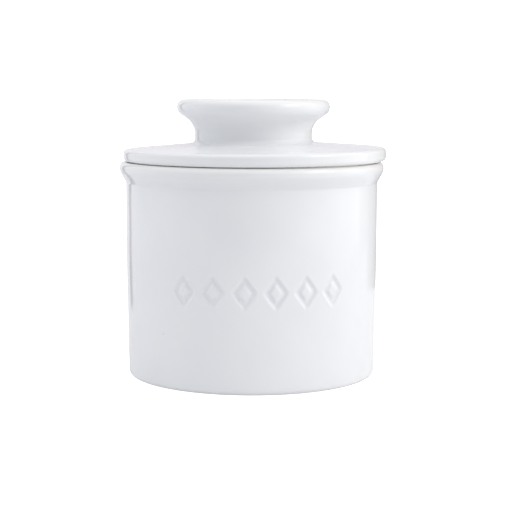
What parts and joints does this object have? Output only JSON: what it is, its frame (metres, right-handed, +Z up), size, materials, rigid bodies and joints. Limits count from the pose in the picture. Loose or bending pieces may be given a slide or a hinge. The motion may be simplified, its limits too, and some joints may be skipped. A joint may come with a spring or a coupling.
{
  "type": "butter crock",
  "caption": "Glazed stoneware butter crock: a round pot with a flared rim, and a lid with a wide spool knob above and a butter bell below.",
  "frame": {"origin": "centre of the pot's foot ring, on the surface it stands on", "axes": "+Z up along the pot's axis, -Y towards the impressed ornament (front), +X to its right"},
  "size_m": [0.1016, 0.1016, 0.106],
  "materials": {
    "white_glaze": "glossy white glaze over stoneware, left bare on the foot ring, the lid's seat ring and the knob's top ring"
  },
  "bodies": {
    "crock": {"crock_pot": "white_glaze"},
    "lid": {"lid_disc": "white_glaze", "lid_knob": "white_glaze", "butter_bell": "white_glaze"}
  },
  "joints": [
    {"name": "lid_lift", "type": "slide", "parent": "crock", "child": "lid", "axis": [0, 0, 1], "range_m": [0, 0.065]}
  ]
}
